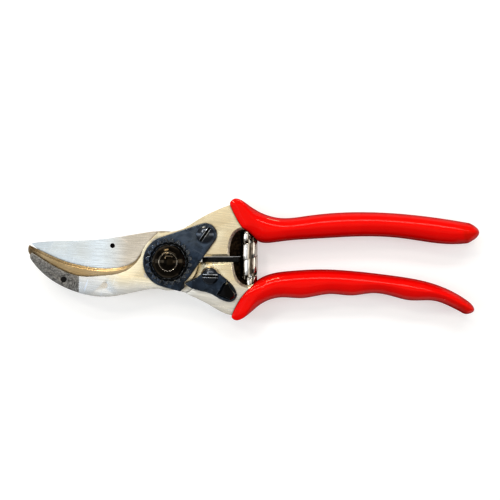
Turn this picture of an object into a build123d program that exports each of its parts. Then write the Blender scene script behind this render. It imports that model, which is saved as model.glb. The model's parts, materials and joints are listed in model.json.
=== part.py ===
from build123d import *
from math import cos, pi, radians, sin
import os

os.makedirs("parts", exist_ok=True)

# Bypass pruning shears, lying shut and latched on a flat surface.
# Millimetres. The Z axis is the pivot bolt's axis, z = 0 is the surface the tool lies on,
# +X runs towards the ends of the grips and +Y towards the upper handle.
# "Anvil side" is the hook with the upper handle; "blade side" is the blade with the lower handle.

# ---------------------------------------------------------------- driving dimensions
HOOK_TIP_X = -67.4              # nose of the hook
UPPER_END_X = 147.6             # end of the upper grip, so the tool is 215 mm long
RUN = 0.05                      # running clearance between parts that turn on each other

HEAD_TOP = 2.0                  # bolt head: z = 0 to here
HUB_BACK = HEAD_TOP + RUN       # blade-side hub starts here
BLADE_BACK = 6.0                # cutting blade lies on the blade-side hub
BLADE_TOP = 9.0
ANVIL_BACK = BLADE_TOP + RUN    # anvil-side hub and anvil blade start here
ANVIL_BLADE_TOP = 11.25
FRONT = 13.6                    # front face of both forgings
PLATE_TOP = 15.1                # locking plate lies on the front face
GRIP_FRONT = FRONT + HEAD_TOP   # the dipped grips are centred on the forgings

BOLT_R = 4.0
BOLT_HEAD_R = 8.5
BOLT_END = 20.4
BOLT_DOME_R = 7.0               # sphere that rounds its front end
BOLT_DOME_START = 17.5
NUT_FLANGE_R = 10.8             # over the teeth
NUT_FLANGE_TOP = 15.6           # the teeth stand a little proud of the plate
NUT_TEETH = 20
NUT_TOOTH = 1.6
TOOTH_GAP = 0.2                 # between the tips of the teeth and the plate
NUT_FLATS = 15.6                # across its flats
NUT_TURN = -3.0                 # its first corner, degrees from +X
NUT_DOME_R = 9.7                # sphere that rounds its front
NUT_DOME_RISE = 1.1             # the sphere's top above the nut's flat front
NUT_TOP = 18.9
ANVIL_HUB_R = 13.6
BLADE_HUB_R = 13.0
LIP = 1.2                       # chamfer round the spring's opening
STEP_R = 17.0                   # full-thickness arms start outside this radius
PLATE_R = 12.1

GRIP_RIM = 1.2                  # rounding of its rims
ARM_EDGE_Y = 2.4                # lower edge of the upper arm
REST_EDGE_Y = -0.2              # upper edge of the lower arm
LUG_ANGLES = (99, 112)          # lug on the lower hub, in degrees from +X when shut
STOP_ANGLES = (50, 65)          # boss on the hook side; the lug stops short of it, 32 degrees open
STOP_GAP = 0.3                  # room above and below that boss

SPRING_X = 37.8
MID_Z = (HEAD_TOP + FRONT) / 2  # middle plane of the arms
SPRING_TOP_Y = 14.0
SPRING_BOTTOM_Y = -10.8
SPRING_R = 4.2                  # widest coil
SPRING_EYE_R = 1.8              # hole through the wound strip
PEG_R = 1.4
PEG_ROOT = 4.0                  # length of a peg inside its arm
PEG_TIP = 3.0                   # length of a peg inside the spring
POCKET_R = 4.7                  # pocket in arms and grips that the spring stands in
FLOOR_TOP = 3.0                 # thin floor behind the spring, in two halves
FLOOR_END_X = 40.5
FLOOR_SPLIT_Y = 2.2             # the lower half reaches up to here

PLATE_SCREW = (17.2, 12.8)
CATCH_PIVOT = (19.6, -6.7)
CATCH_BACK = PLATE_TOP + 0.3    # the catch nose passes over the plate
CATCH_TOP = CATCH_BACK + 1.4
PAD_TOP = 19.6                  # thumb pad of the catch
CATCH_SHANK_R = 2.5
CATCH_SHANK_END = 5.0           # depth both screws reach in the arms
PLATE_SHANK_R = 2.0
PLATE_SHANK_END = 6.0
PLATE_SCREW_HEAD = 2.2          # heights of the two heads
CATCH_SCREW_HEAD = 2.2
HEAD_DOME = 0.75                # share of a screw head's height that is domed
SLOT_WIDTH = 1.1
SLOT_DEPTH = 1.1
RIVET_R = 1.4
RIVETS = [(-49.9, -8.4), (-30.4, -11.2), (-10.4, -6.4), (-6.6, 9.6)]
BLADE_PINS = [(6.2, -8.4), (9.6, 2.0), (-6.4, -7.6)]
BLADE_HOLE = (-27.4, 7.6)       # blind hole in the front of the blade
BLADE_HOLE_R = 1.15
BLADE_HOLE_DEPTH = 1.4
HOLLOW_X = -42.6                # the as-cast hollow of the hook lies beyond this
HOLLOW_DEPTH = 0.6

CUSHION_START_X = 21.3
CUSHION_END_X = 33.2
CUSHION_TOP_Y = 2.1
CUSHION_HEIGHT = 9.0
CUSHION_STEM = (25.7, 1.8, 4.0)  # x, radius and length of its stem


# ---------------------------------------------------------------- helpers
def slab(face, z0, z1):
    """The face, drawn on z = 0, as a solid from z0 to z1."""
    return extrude(Pos(0, 0, z0) * face, z1 - z0)


def disc(radius, x=0, y=0):
    return Pos(x, y) * Circle(radius)


def drum(radius, z0, z1, x=0, y=0):
    """A cylinder along Z."""
    return slab(disc(radius, x, y), z0, z1)


def post(radius, y0, y1, x, z):
    """A cylinder along Y."""
    base = Plane(origin=(x, y0, z), z_dir=(0, 1, 0))
    return extrude(base * Circle(radius), y1 - y0)


def sector(r_in, r_out, a0, a1):
    """A piece of a ring between two angles, in degrees."""
    def at(radius, angle):
        return (radius * cos(radians(angle)), radius * sin(radians(angle)))
    middle = (a0 + a1) / 2
    rim = ThreePointArc(at(r_out, a0), at(r_out, middle), at(r_out, a1))
    root = ThreePointArc(at(r_in, a1), at(r_in, middle), at(r_in, a0))
    sides = Line(at(r_out, a1), at(r_in, a1)) + Line(at(r_in, a0), at(r_out, a0))
    return make_face(rim + root + sides)


def ring_of_teeth(root_r, tooth, count, flank=0.0):
    """A toothed disc; flank widens the teeth, for a hole that meshes with it."""
    points = []
    for i in range(count):
        start = 2 * pi * i / count
        for radius, turn in ((root_r, 0.12 - flank), (root_r + tooth, 0.34 - flank),
                             (root_r + tooth, 0.66 + flank), (root_r, 0.88 + flank)):
            angle = start + turn * 2 * pi / count
            points.append((radius * cos(angle), radius * sin(angle)))
    return make_face(Polyline(*points, close=True))


def edges_at(solid, z, keep=lambda point: True):
    """Edges lying in the plane at height z whose middle passes the test."""
    flat = solid.edges().filter_by_position(Axis.Z, z - 1e-3, z + 1e-3)
    return [e for e in flat if keep(e.position_at(0.5))]


def slotted_head(radius, z0, z1, at, slot_angle):
    """A raised head, domed over most of its height, with a screwdriver slot."""
    rise = HEAD_DOME * (z1 - z0)
    dome_r = (radius ** 2 + rise ** 2) / (2 * rise)
    head = drum(radius, z0, z1) & (Pos(0, 0, z1 - dome_r) * Sphere(dome_r))
    slot = slab(Rot(0, 0, slot_angle) * Rectangle(3 * radius, SLOT_WIDTH), z1 - SLOT_DEPTH, z1 + 1)
    return Pos(*at) * (head - slot)


# ---------------------------------------------------------------- outlines in plan
# Upper grip: its mouth on the metal arm, its back, its end and its inner side.
upper_mouth = [(34.7, 15.8), (32.1, 20.0), (29.9, 24.4), (28.6, 27.6)]
upper_back = [(28.6, 27.6), (31.6, 29.9), (37.0, 27.3), (43.5, 23.4), (52.0, 20.9),
              (66.0, 21.9), (93.0, 23.6), (128.0, 20.8), (143.0, 18.4)]
upper_end = [(143.0, 18.4), (UPPER_END_X, 14.1), (142.2, 8.7)]
upper_inside = [(142.2, 8.7), (131.0, 8.5), (112.0, 11.1), (93.0, 12.1), (70.0, 11.0),
                (52.0, 9.5), (41.6, 10.0), (38.2, 13.3), (34.7, 15.8)]
upper_face = make_face(Spline(*upper_mouth) + Spline(*upper_back) + Spline(*upper_end)
                       + Spline(*upper_inside))

# Lower grip, with its finger waves.
lower_mouth = [(29.4, -26.0), (31.0, -22.3), (33.2, -18.3), (37.5, -12.8), (41.9, -8.8)]
lower_inside = [(41.9, -8.8), (46.5, -6.5), (58.0, -4.5), (72.0, -3.8), (90.0, -4.8),
                (107.0, -6.8), (124.0, -10.0), (136.5, -15.1), (143.4, -19.7)]
lower_end = [(143.4, -19.7), (145.2, -23.2), (141.2, -25.2)]
lower_back = [(141.2, -25.2), (134.0, -21.4), (126.0, -18.7), (114.5, -18.5), (105.0, -16.2),
              (96.5, -15.1), (87.0, -16.2), (76.5, -15.5), (63.0, -17.5), (52.0, -17.2),
              (43.5, -20.3), (35.8, -26.2), (31.6, -27.7), (29.4, -26.0)]
lower_face = make_face(Spline(*lower_mouth) + Spline(*lower_inside) + Spline(*lower_end)
                       + Spline(*lower_back))

# The forgings run on inside the grips, about 2 mm below their surface.
upper_core = [(31.0, 25.2), (33.0, 27.0), (37.0, 25.0), (44.0, 21.0), (54.0, 18.8), (68.0, 19.8),
              (93.0, 21.4), (127.0, 18.7), (141.0, 16.4), (144.0, 13.6), (141.0, 10.9),
              (131.0, 10.7), (112.0, 13.2), (93.0, 14.2), (70.0, 13.1), (54.0, 11.7),
              (43.0, 12.3), (39.6, 15.2), (34.5, 18.6)]
lower_core = [(33.2, -24.0), (36.0, -19.5), (40.5, -12.8), (43.5, -9.9), (47.5, -8.6),
              (58.0, -6.7), (72.0, -6.0), (90.0, -7.0), (107.0, -9.0), (123.0, -12.2),
              (135.0, -17.2), (141.0, -21.4), (140.6, -22.6), (134.5, -19.4), (126.0, -16.6),
              (114.0, -16.4), (104.0, -14.0), (96.5, -13.0), (87.0, -14.1), (76.5, -13.4),
              (62.5, -15.3), (51.5, -15.0), (43.0, -18.0), (36.5, -23.0)]
upper_core_face = make_face(Polyline(*upper_core, close=True))
lower_core_face = make_face(Polyline(*lower_core, close=True))

# Metal part of the upper arm, from the hub into the grip, with the spring's notch.
upper_arm_top = [(-5.3, 13.9), (1.0, 14.1), (6.3, 15.4), (12.7, 19.2), (22.0, 24.1),
                 (31.0, 27.4)]
upper_arm_notch = [(35.6, 15.1), (32.2, 14.2), (29.6, 10.3), (28.6, ARM_EDGE_Y)]
upper_arm_face = make_face(
    Spline(*upper_arm_top) + Line(upper_arm_top[-1], upper_arm_notch[0])
    + Spline(*upper_arm_notch) + Polyline(upper_arm_notch[-1], (0, ARM_EDGE_Y), upper_arm_top[0]))

# Metal part of the lower arm.
lower_arm_notch = [(30.4, REST_EDGE_Y), (31.0, -4.4), (32.6, -8.4), (36.0, -11.0), (40.0, -10.4)]
lower_arm_bottom = [(33.0, -25.0), (29.5, -25.2), (19.0, -20.3), (9.2, -15.6), (1.5, -13.0)]
lower_arm_face = make_face(
    Spline(*lower_arm_notch) + Line(lower_arm_notch[-1], lower_arm_bottom[0])
    + Spline(*lower_arm_bottom) + Polyline(lower_arm_bottom[-1], (0, REST_EDGE_Y),
                                           lower_arm_notch[0]))

# Floor behind the spring: the upper arm's half, and the lower arm's half up to the split.
upper_floor = make_face(Polyline((27.6, ARM_EDGE_Y), (27.6, 9.0), (31.0, 16.0),
                                 (FLOOR_END_X, 16.0), (FLOOR_END_X, ARM_EDGE_Y), close=True))
lower_floor = make_face(Polyline((30.0, -4.0), (30.0, FLOOR_SPLIT_Y), (FLOOR_END_X, FLOOR_SPLIT_Y),
                                 (FLOOR_END_X, -12.0), (33.0, -12.0), close=True))

# Hook: nose, outer belly to the hub, and back along the inner edge.
hook_nose = [(-64.9, 4.3), (-65.8, 3.0), (-65.0, 0.6)]
hook_belly = [(-65.0, 0.6), (-58.6, -6.4), (-44.2, -14.2), (-29.0, -16.5), (-15.5, -14.2),
              (-6.0, -12.7), (0.0, -13.4)]
hook_inside = [(-5.0, 13.8), (-8.4, 10.4), (-12.8, 3.4), (-17.5, -2.4), (-22.6, -5.2),
               (-31.2, -6.6), (-42.7, -6.8), (-53.6, -2.6), (-64.9, 4.3)]
hook_face = make_face(Spline(*hook_nose) + Spline(*hook_belly)
                      + Polyline(hook_belly[-1], (0, 13.4), hook_inside[0]) + Spline(*hook_inside))

# Anvil blade: the steel lining of the hook.
anvil_edge = [(-66.9, 7.9), (-59.8, 4.3), (-50.5, 0.3), (-41.4, -2.1), (-31.0, -3.4),
              (-22.0, -2.4), (-16.3, 0.4), (-12.7, 5.7), (-8.2, 11.5), (-5.6, 13.9)]
anvil_root = [(-2.0, 13.4), (-5.2, 8.0), (-6.6, 1.0), (-8.6, -7.5), (-16.0, -11.2),
              (-28.0, -13.6), (-43.0, -11.4), (-56.0, -4.5), (-65.4, 2.2)]
anvil_nose = [(-65.4, 2.2), (HOOK_TIP_X, 5.2), (-66.9, 7.9)]
anvil_face = make_face(Spline(*anvil_edge) + Line(anvil_edge[-1], anvil_root[0])
                       + Spline(*anvil_root) + Spline(*anvil_nose))

# Cutting blade: spine, root round the pivot, and cutting edge.
blade_spine = [(-65.8, 8.9), (-52.8, 9.9), (-36.0, 10.4), (-24.1, 11.8), (-12.7, 13.7),
               (-3.0, 14.6), (3.6, 13.6)]
blade_edge = [(-10.5, -8.5), (-14.8, -4.6), (-21.0, -6.0), (-31.0, -6.6), (-42.0, -4.9),
              (-55.0, 0.4), (-65.8, 8.3)]
blade_face = make_face(Spline(*blade_spine) + Polyline(blade_spine[-1], (0, 0), blade_edge[0])
                       + Spline(*blade_edge) + Line(blade_edge[-1], blade_spine[0]))

# Locking plate: a ring round the nut, an ear for its screw and a lobe for the catch.
plate_lobe = Polyline((-2.6, -11.9), (5.4, -14.0), (7.4, -12.2), (7.4, -7.4), (0, 0), close=True)
plate_flank = Polyline((7.4, -7.4), (17.9, 5.5), (0, 8), close=True)
plate_face = (make_hull(disc(PLATE_R).edges() + disc(5.4, *PLATE_SCREW).edges())
              + make_face(plate_lobe) + make_face(plate_flank))

# Thumb catch: nose, upper side round its pivot, pad end and lower side.
catch_top = [(7.8, -9.9), (11.5, -8.3), (16.1, -5.0), (18.6, -2.9), (21.6, -4.0), (27.1, -8.1),
             (30.8, -12.0), (32.2, -15.8)]
catch_bottom = [(32.2, -15.8), (29.4, -18.8), (24.4, -17.6), (19.6, -14.9), (12.4, -13.0),
                (7.8, -10.4)]
catch_face = make_face(Spline(*catch_top) + Spline(*catch_bottom)
                       + Line(catch_bottom[-1], catch_top[0]))
pad_foot = [(22.0, -15.6), (25.8, -9.4), (27.4, -8.6), (31.7, -14.6), (31.6, -17.0), (29.0, -18.4)]
pad_crown = [(24.2, -15.2), (26.8, -10.4), (28.0, -10.4), (30.8, -14.8), (30.6, -16.2),
             (28.8, -17.2)]


# ---------------------------------------------------------------- anvil side
def make_anvil_blade():
    """Hardened steel lining of the hook, bevelled along its edge."""
    solid = slab(anvil_face, ANVIL_BACK, ANVIL_BLADE_TOP)
    exposed = edges_at(solid, ANVIL_BLADE_TOP, lambda p: p.Y > -3.5 and p.X < -20)
    return chamfer(exposed, 1.2)


def spring_floor(plan):
    """Thin floor behind the spring."""
    return slab(plan, HEAD_TOP, FLOOR_TOP)


def make_anvil_handle():
    """Forging of the hook, the upper hub half and the upper arm."""
    front = hook_face + disc(ANVIL_HUB_R) + upper_arm_face
    arm = upper_arm_face - disc(STEP_R)
    solid = slab(front, ANVIL_BACK, FRONT) + slab(arm, HEAD_TOP, FRONT)
    solid += slab(upper_core_face, HEAD_TOP, FRONT)
    solid -= slab(anvil_face, ANVIL_BACK, ANVIL_BLADE_TOP)
    beyond = Pos(HOLLOW_X - 20, 0) * Rectangle(40, 60)
    solid -= slab(beyond, FRONT - HOLLOW_DEPTH, FRONT + 1)
    solid += slab(sector(BLADE_HUB_R + 0.4, STEP_R + 2, *STOP_ANGLES), HUB_BACK + STOP_GAP,
                  BLADE_BACK - STOP_GAP)
    solid += spring_floor(upper_floor)
    solid -= drum(BOLT_R + RUN, 0, FRONT + 1)
    solid -= post(POCKET_R, 0, SPRING_TOP_Y, SPRING_X, MID_Z)
    solid -= post(PEG_R, SPRING_TOP_Y - 1, SPRING_TOP_Y + PEG_ROOT, SPRING_X, MID_Z)
    solid -= drum(PLATE_SHANK_R, PLATE_SHANK_END, FRONT + 1, *PLATE_SCREW)
    for x, y in RIVETS:
        solid -= drum(RIVET_R, ANVIL_BACK - 1, FRONT + 1, x, y)
    notch_rim = edges_at(solid, FRONT,
                         lambda p: 15 < p.X < 33 and 1 < p.Y < 13 and p.Y - p.X < -8)
    return chamfer(notch_rim, LIP)


def make_rivets():
    """Four flush rivets that hold the anvil blade in the hook."""
    heights = [FRONT - HOLLOW_DEPTH if x < HOLLOW_X else FRONT for x, y in RIVETS]
    return [drum(RIVET_R, ANVIL_BACK, top, x, y) for (x, y), top in zip(RIVETS, heights)]


def make_grip(face, metal):
    """Dipped coating over an arm, with rounded rims."""
    solid = slab(face, 0, GRIP_FRONT)
    solid = fillet(edges_at(solid, 0) + edges_at(solid, GRIP_FRONT), GRIP_RIM)
    solid -= post(POCKET_R, SPRING_BOTTOM_Y, SPRING_TOP_Y, SPRING_X, MID_Z)
    solid -= post(PEG_R, SPRING_BOTTOM_Y - PEG_ROOT, SPRING_TOP_Y + PEG_ROOT, SPRING_X, MID_Z)
    return solid - metal


def make_locking_plate():
    """Toothed plate that keys the nut to the upper arm."""
    teeth = ring_of_teeth(NUT_FLANGE_R - NUT_TOOTH + TOOTH_GAP, NUT_TOOTH, NUT_TEETH, 0.06)
    solid = slab(plate_face, FRONT, PLATE_TOP)
    solid = chamfer(edges_at(solid, PLATE_TOP), 0.35)
    solid -= slab(teeth, FRONT - 1, PLATE_TOP + 1)
    return solid - drum(PLATE_SHANK_R, FRONT - 1, PLATE_TOP + 1, *PLATE_SCREW)


def make_plate_screw():
    head = slotted_head(4.2, PLATE_TOP, PLATE_TOP + PLATE_SCREW_HEAD, PLATE_SCREW, 55)
    return head + drum(PLATE_SHANK_R, PLATE_SHANK_END, PLATE_TOP, *PLATE_SCREW)


def make_centre_bolt():
    """Pivot bolt, head at the back, domed threaded end at the front."""
    head = chamfer(edges_at(drum(BOLT_HEAD_R, 0, HEAD_TOP), 0), 0.6)
    shank = drum(BOLT_R, HEAD_TOP, BOLT_DOME_START)
    dome = Pos(0, 0, BOLT_END - BOLT_DOME_R) * Sphere(BOLT_DOME_R)
    return head + shank + (drum(BOLT_R, BOLT_DOME_START, BOLT_END) & dome)


def make_toothed_nut():
    """Domed hexagon nut on a toothed flange; the teeth sit in the locking plate."""
    flange = slab(ring_of_teeth(NUT_FLANGE_R - NUT_TOOTH, NUT_TOOTH, NUT_TEETH), FRONT,
                  NUT_FLANGE_TOP)
    plan = Rot(0, 0, NUT_TURN) * RegularPolygon(NUT_FLATS / 2, 6, major_radius=False)
    crown = Pos(0, 0, NUT_TOP + NUT_DOME_RISE - NUT_DOME_R) * Sphere(NUT_DOME_R)
    nut = flange + (slab(plan, NUT_FLANGE_TOP, NUT_TOP) & crown)
    nut -= drum(BOLT_R + RUN, FRONT - 1, NUT_TOP + 1)
    bore_rim = edges_at(nut, NUT_TOP, lambda p: p.X ** 2 + p.Y ** 2 < (BOLT_R + 0.3) ** 2)
    return chamfer(bore_rim, 0.3)


def make_peg(base_y, tip_y):
    """Steel peg pressed into an arm, inside one end of the spring."""
    return post(PEG_R, min(base_y, tip_y), max(base_y, tip_y), SPRING_X, MID_Z)


def make_return_spring():
    """Envelope of the volute: stepped turns that grow towards the middle."""
    # share of the length from the top, outer radius of the step that starts there
    steps = [(0.0, 2.6), (0.07, 3.6), (0.30, 4.0), (0.36, SPRING_R), (0.70, 4.0), (0.90, 3.2),
             (1.0, 2.4)]
    length = SPRING_TOP_Y - SPRING_BOTTOM_Y
    solid = None
    for (start, radius), (stop, _) in zip(steps, steps[1:]):
        y0 = SPRING_TOP_Y - stop * length
        y1 = SPRING_TOP_Y - start * length
        tube = post(radius, y0, y1, SPRING_X, MID_Z)
        solid = tube if solid is None else solid + tube
    return solid - post(SPRING_EYE_R, SPRING_BOTTOM_Y - 1, SPRING_TOP_Y + 1, SPRING_X, MID_Z)


# ---------------------------------------------------------------- blade side
def make_cutting_blade():
    """Blade with a bevelled cutting edge, a root round the pivot and a small blind hole."""
    solid = slab(blade_face + disc(BLADE_HUB_R), BLADE_BACK, BLADE_TOP)
    cutting_side = edges_at(solid, BLADE_BACK, lambda p: p.Y < 6 and p.X < -20)
    solid = chamfer(cutting_side, 2.4)
    solid -= drum(BOLT_R + RUN, 0, FRONT)
    solid -= drum(BLADE_HOLE_R, BLADE_TOP - BLADE_HOLE_DEPTH, FRONT, *BLADE_HOLE)
    for x, y in BLADE_PINS:
        solid -= drum(RIVET_R, 0, FRONT, x, y)
    return solid


def make_blade_handle():
    """Forging of the lower hub half and the lower arm."""
    plan = lower_arm_face + disc(BLADE_HUB_R)
    solid = slab(plan, HUB_BACK, BLADE_BACK)
    solid += slab(lower_arm_face - disc(BLADE_HUB_R), HUB_BACK, BLADE_TOP)
    solid += slab(lower_arm_face - disc(STEP_R), HEAD_TOP, FRONT)
    solid += slab(lower_core_face, HEAD_TOP, FRONT)
    solid += slab(sector(BLADE_HUB_R - 1, BLADE_HUB_R + 1.4, *LUG_ANGLES), HUB_BACK, BLADE_BACK)
    solid += spring_floor(lower_floor)
    solid -= drum(BOLT_R + RUN, 0, FRONT)
    solid -= post(POCKET_R, SPRING_BOTTOM_Y, 0, SPRING_X, MID_Z)
    solid -= post(PEG_R, SPRING_BOTTOM_Y - PEG_ROOT, SPRING_BOTTOM_Y + 1, SPRING_X, MID_Z)
    solid -= drum(CATCH_SHANK_R, CATCH_SHANK_END, FRONT + 1, *CATCH_PIVOT)
    solid -= cushion_stem()
    for x, y in BLADE_PINS:
        solid -= drum(RIVET_R, 0, FRONT, x, y)
    notch_rim = edges_at(solid, FRONT, lambda p: 19 < p.X < 36 and -10 < p.Y < 1)
    return chamfer(notch_rim, LIP)


def make_blade_pins():
    """Three flush rivets that hold the blade to the lower hub."""
    return [drum(RIVET_R, HUB_BACK, BLADE_TOP, x, y) for x, y in BLADE_PINS]


def cushion_stem():
    x, radius, length = CUSHION_STEM
    return post(radius, REST_EDGE_Y - length, REST_EDGE_Y + 0.5, x, MID_Z)


def make_cushion():
    """Rubber stop between the arms, with a stem pushed into the lower arm."""
    place = Pos((CUSHION_START_X + CUSHION_END_X) / 2, (REST_EDGE_Y + CUSHION_TOP_Y) / 2, MID_Z)
    pad = place * Box(CUSHION_END_X - CUSHION_START_X, CUSHION_TOP_Y - REST_EDGE_Y, CUSHION_HEIGHT)
    pad = fillet(pad.edges().filter_by(Axis.Y), 1.5)
    return pad + cushion_stem()


def make_catch_screw():
    """Shouldered screw that the thumb catch turns on."""
    head = slotted_head(3.8, CATCH_TOP + RUN, CATCH_TOP + CATCH_SCREW_HEAD, CATCH_PIVOT, -2)
    return head + drum(CATCH_SHANK_R, CATCH_SHANK_END, CATCH_TOP + RUN, *CATCH_PIVOT)


def make_spring_washer():
    """Dished washer under the catch, between it and the lower arm."""
    height = CATCH_BACK - RUN - FRONT
    cone = Pos(0, 0, FRONT + height / 2) * Cone(4.6, 3.6, height)
    return Pos(*CATCH_PIVOT) * (cone - drum(CATCH_SHANK_R + RUN, FRONT - 1, CATCH_BACK))


def make_thumb_catch():
    """Flat leaf with a raised thumb pad."""
    leaf = slab(catch_face, CATCH_BACK, CATCH_TOP)
    leaf = chamfer(edges_at(leaf, CATCH_TOP), 0.4)
    foot = make_face(Polyline(*pad_foot, close=True))
    crown = make_face(Polyline(*pad_crown, close=True))
    pad = loft([Pos(0, 0, CATCH_BACK + 0.5) * foot, Pos(0, 0, PAD_TOP) * crown])
    return leaf + pad - drum(CATCH_SHANK_R + RUN, CATCH_BACK - 1, CATCH_TOP + 1, *CATCH_PIVOT)


# ---------------------------------------------------------------- build and write
anvil_blade = make_anvil_blade()
anvil_handle = make_anvil_handle()
blade_handle = make_blade_handle()

nodes = {
    "anvil_handle": anvil_handle,
    "anvil_blade": anvil_blade - [drum(RIVET_R, 0, FRONT, x, y) for x, y in RIVETS],
    "anvil_blade_rivets": Compound(children=make_rivets()),
    "upper_grip": make_grip(upper_face, anvil_handle),
    "locking_plate": make_locking_plate(),
    "locking_plate_screw": make_plate_screw(),
    "centre_bolt": make_centre_bolt(),
    "toothed_nut": make_toothed_nut(),
    "spring_peg_upper": make_peg(SPRING_TOP_Y + PEG_ROOT, SPRING_TOP_Y - PEG_TIP),
    "return_spring": make_return_spring(),
    "blade_handle": blade_handle,
    "cutting_blade": make_cutting_blade(),
    "blade_rivets": Compound(children=make_blade_pins()),
    "lower_grip": make_grip(lower_face, blade_handle),
    "cushion": make_cushion(),
    "spring_peg_lower": make_peg(SPRING_BOTTOM_Y - PEG_ROOT, SPRING_BOTTOM_Y + PEG_TIP),
    "catch_screw": make_catch_screw(),
    "catch_spring_washer": make_spring_washer(),
    "thumb_catch": make_thumb_catch(),
}

for name, shape in nodes.items():
    export_step(shape, f"parts/{name}.step")
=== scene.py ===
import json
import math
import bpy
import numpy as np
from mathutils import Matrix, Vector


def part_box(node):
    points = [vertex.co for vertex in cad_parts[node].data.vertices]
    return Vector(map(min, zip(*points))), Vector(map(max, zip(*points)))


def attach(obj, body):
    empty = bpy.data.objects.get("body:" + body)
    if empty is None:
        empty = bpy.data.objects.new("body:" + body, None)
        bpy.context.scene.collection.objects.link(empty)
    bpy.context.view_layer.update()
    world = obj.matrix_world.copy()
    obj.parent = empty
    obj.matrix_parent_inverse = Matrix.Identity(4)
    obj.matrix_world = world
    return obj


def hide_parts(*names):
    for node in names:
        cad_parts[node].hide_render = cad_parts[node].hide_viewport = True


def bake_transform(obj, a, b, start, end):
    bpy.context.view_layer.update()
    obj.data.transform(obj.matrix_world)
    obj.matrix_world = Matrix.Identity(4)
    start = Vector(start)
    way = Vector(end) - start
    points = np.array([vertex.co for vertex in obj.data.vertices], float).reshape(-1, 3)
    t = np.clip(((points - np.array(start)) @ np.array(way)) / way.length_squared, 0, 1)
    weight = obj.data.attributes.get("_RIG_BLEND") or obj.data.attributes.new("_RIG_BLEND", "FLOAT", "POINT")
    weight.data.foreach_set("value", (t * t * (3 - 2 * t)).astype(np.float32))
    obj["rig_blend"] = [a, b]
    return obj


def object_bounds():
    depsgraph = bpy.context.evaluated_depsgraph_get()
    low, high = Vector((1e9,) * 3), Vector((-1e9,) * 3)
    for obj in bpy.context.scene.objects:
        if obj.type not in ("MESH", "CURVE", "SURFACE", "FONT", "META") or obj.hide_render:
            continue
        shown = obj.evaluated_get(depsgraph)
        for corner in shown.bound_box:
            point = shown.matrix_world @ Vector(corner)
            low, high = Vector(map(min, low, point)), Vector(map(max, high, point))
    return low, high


bl_info = {
    "name": "Pruning Shears",
    "version": (1, 0, 0),
    "blender": (4, 5, 0),
    "location": "3D View > Sidebar > Shears",
    "description": "Forgings, dipped grips, volute spring and finishes of bypass pruning shears",
    "category": "Object",
}

import bmesh
import bpy
import numpy as np
from mathutils import Vector

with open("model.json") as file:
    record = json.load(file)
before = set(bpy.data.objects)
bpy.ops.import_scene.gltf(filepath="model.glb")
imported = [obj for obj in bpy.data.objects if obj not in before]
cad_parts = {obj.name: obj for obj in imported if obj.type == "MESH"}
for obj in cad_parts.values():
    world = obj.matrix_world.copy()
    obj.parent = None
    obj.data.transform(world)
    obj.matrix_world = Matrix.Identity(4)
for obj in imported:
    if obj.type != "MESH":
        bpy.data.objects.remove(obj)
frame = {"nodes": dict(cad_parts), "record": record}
CAD_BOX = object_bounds()

MM = 0.001
BODY_OF = {n: b for b, names in frame["record"]["behaviour"]["bodies"].items() for n in names}
SLOT_OF = {s["node"]: s["material_slot"] for s in frame["record"]["subparts"]}


# ---------------------------------------------------------------- settings
def length(name, description, default):
    return bpy.props.FloatProperty(name=name, description=description, default=default,
                                   unit="LENGTH", precision=5)


def paint(name, description, default):
    return bpy.props.FloatVectorProperty(name=name, description=description, default=default,
                                         size=3, subtype="COLOR", min=0, max=1)


class ShearsSizes(bpy.types.PropertyGroup):
    edge_break: length("Edge Break", "Rounding of the forgings' edges", 0.35 * MM)
    plate_break: length("Plate Edge Break", "Rounding of the stamped and turned steel parts",
                        0.18 * MM)
    grip_round: length("Grip Rounding", "Rounding of the grips along their length", 6.4 * MM)
    mouth_round: length("Mouth Rounding", "Rounding of the grips where the metal comes out",
                        1.1 * MM)
    grip_voxel: length("Grip Detail", "Size of the grips' mesh cells", 0.55 * MM)
    strip_thickness: length("Spring Strip Thickness", "Thickness of the spring's flat strip",
                            0.35 * MM)
    spring_turns: bpy.props.FloatProperty(
        name="Spring Turns", description="Turns from one end of the spring to the other",
        default=3.3, min=3.0, max=9.0)


class ShearsColours(bpy.types.PropertyGroup):
    coating: paint("Coating", "Colour of the dipped grips", (0.80, 0.0020, 0.0004))
    aluminium: paint("Aluminium", "Colour of the forgings", (1.0, 0.93, 0.82))
    blade: paint("Blade Steel", "Colour of the ground cutting blade", (0.91, 0.97, 1.0))
    # The hook lining's tan colour is a painted reflection of warm surroundings.
    lining: paint("Hook Lining", "Straw colour of the hardened hook lining", (0.58, 0.44, 0.26))
    blued: paint("Blued Steel", "Colour of the locking plate, catch and screws",
                 (0.013, 0.019, 0.029))
    oiled: paint("Oiled Steel", "Colour of the nut and the pivot bolt", (0.011, 0.0085, 0.0055))
    nickel: paint("Nickel", "Colour of the spring", (0.82, 0.76, 0.68))
    rubber: paint("Rubber", "Colour of the cushion", (0.004, 0.004, 0.004))
    floor: paint("Floor", "Colour of the floor", (0.62, 0.62, 0.62))


# ---------------------------------------------------------------- node helpers
def group_sockets(tree, inputs, outputs):
    for name, kind, default in inputs:
        socket = tree.interface.new_socket(name=name, in_out="INPUT", socket_type=kind)
        if default is not None:
            socket.default_value = default
    for name, kind in outputs:
        tree.interface.new_socket(name=name, in_out="OUTPUT", socket_type=kind)


def new_group(name, inputs, outputs):
    tree = bpy.data.node_groups.new(name, "ShaderNodeTree")
    group_sockets(tree, inputs, outputs)
    source = tree.nodes.new("NodeGroupInput")
    sink = tree.nodes.new("NodeGroupOutput")
    return tree, source, sink


def add(tree, kind, **values):
    node = tree.nodes.new(kind)
    for key, value in values.items():
        setattr(node, key, value)
    return node


def wire(tree, *pairs):
    for start, end in pairs:
        tree.links.new(start, end)


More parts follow.
